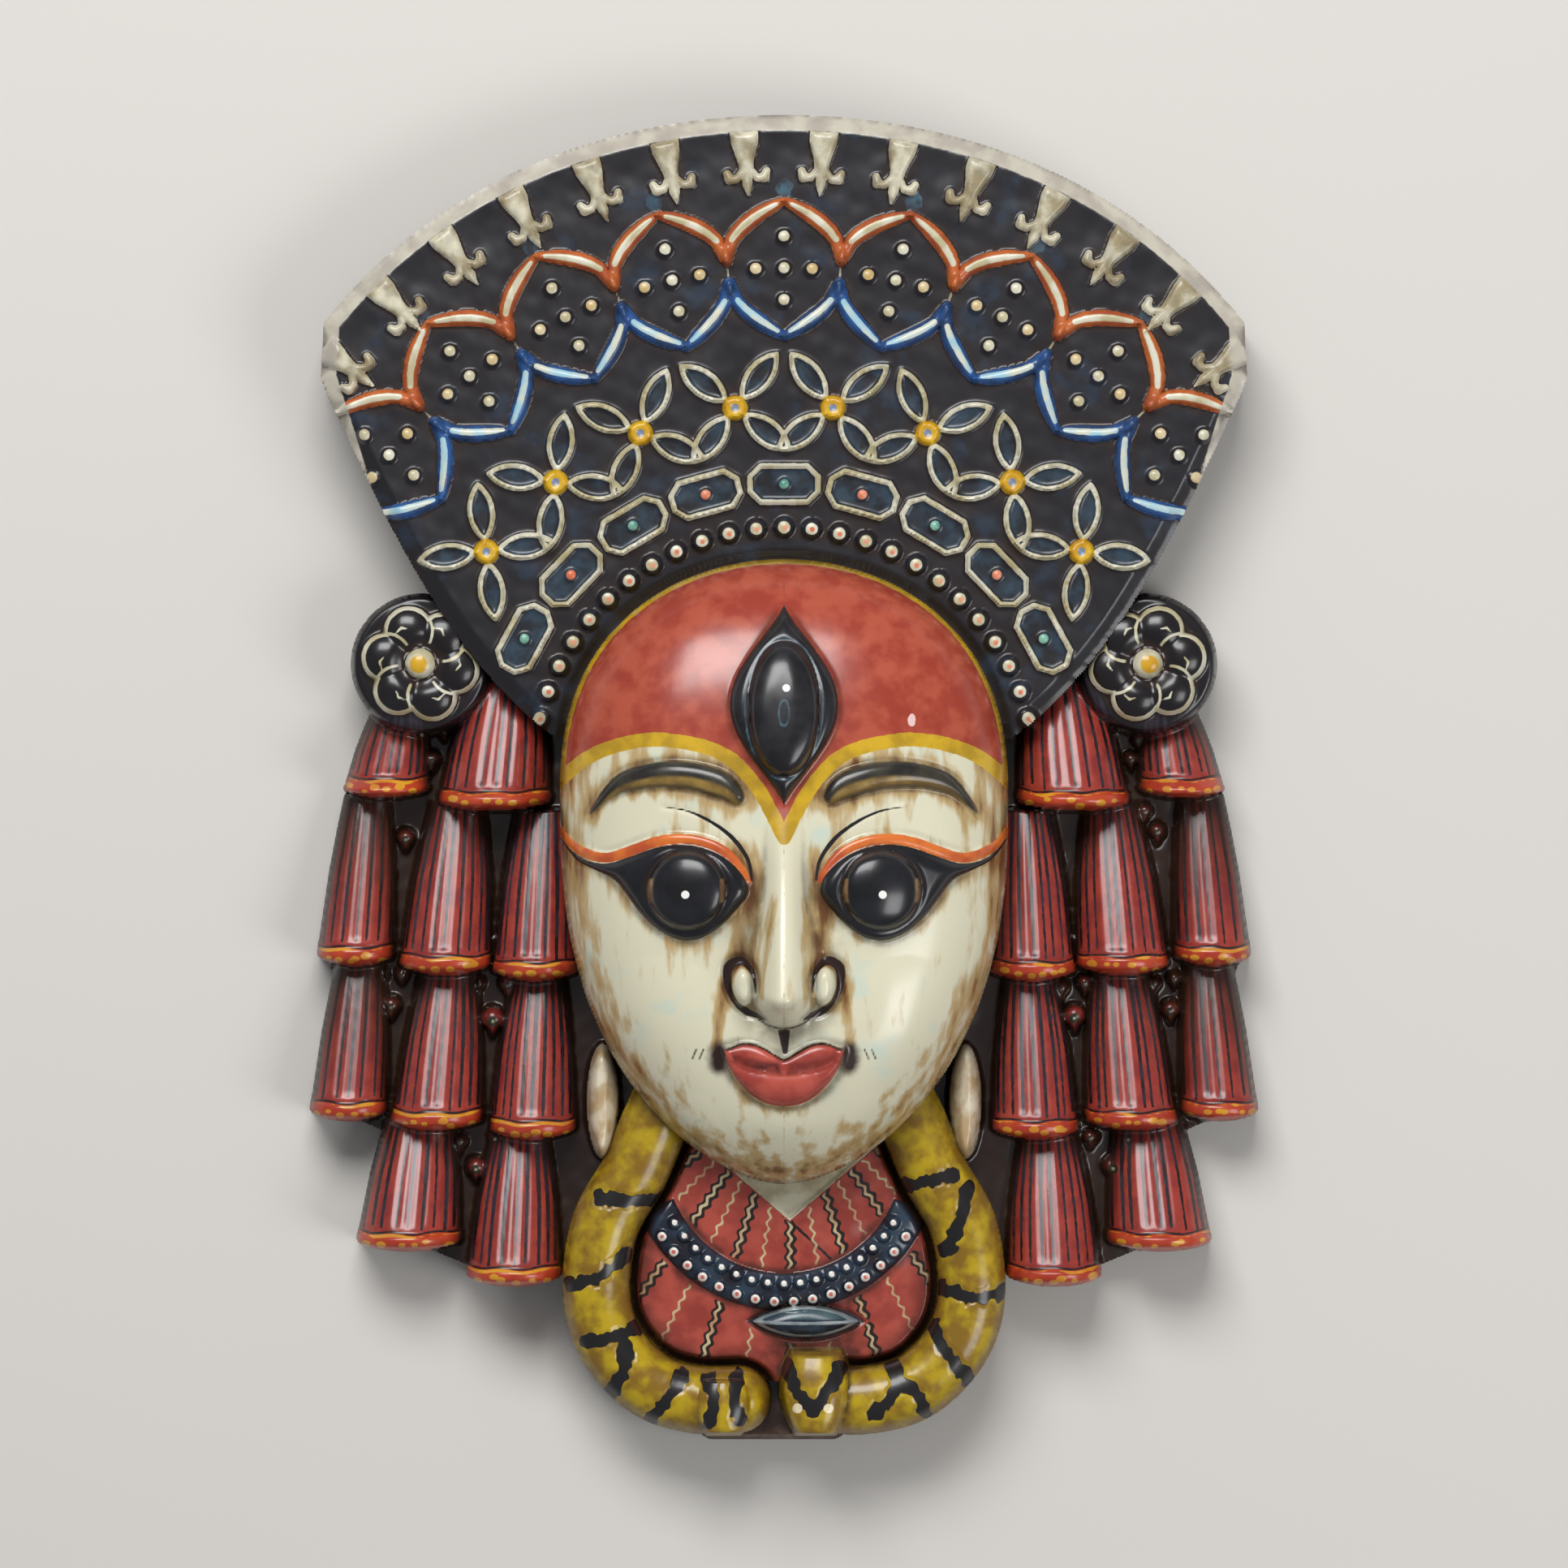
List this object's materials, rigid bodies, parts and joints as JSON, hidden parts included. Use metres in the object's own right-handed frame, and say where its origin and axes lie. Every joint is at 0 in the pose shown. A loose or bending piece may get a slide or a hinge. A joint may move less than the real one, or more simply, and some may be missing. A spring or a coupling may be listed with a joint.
{
  "type": "goddess mask",
  "caption": "Carved and painted wooden goddess mask: fan crown with relief, three-eyed face, side tassels, temple flowers, serpent collar and necklace.",
  "frame": {"origin": "on the back plane, under the middle of the mask's box", "axes": "+Z the way the face looks, +Y to the top of the crown, +X to the viewer's right"},
  "size_m": [0.3304, 0.46, 0.095],
  "materials": {
    "painted_wood": "carved wood, painted in red, cream, black, yellow and blue, antiqued and varnished to a soft gloss"
  },
  "bodies": {
    "root": {"goddess_mask": "painted_wood"}
  },
  "joints": []
}
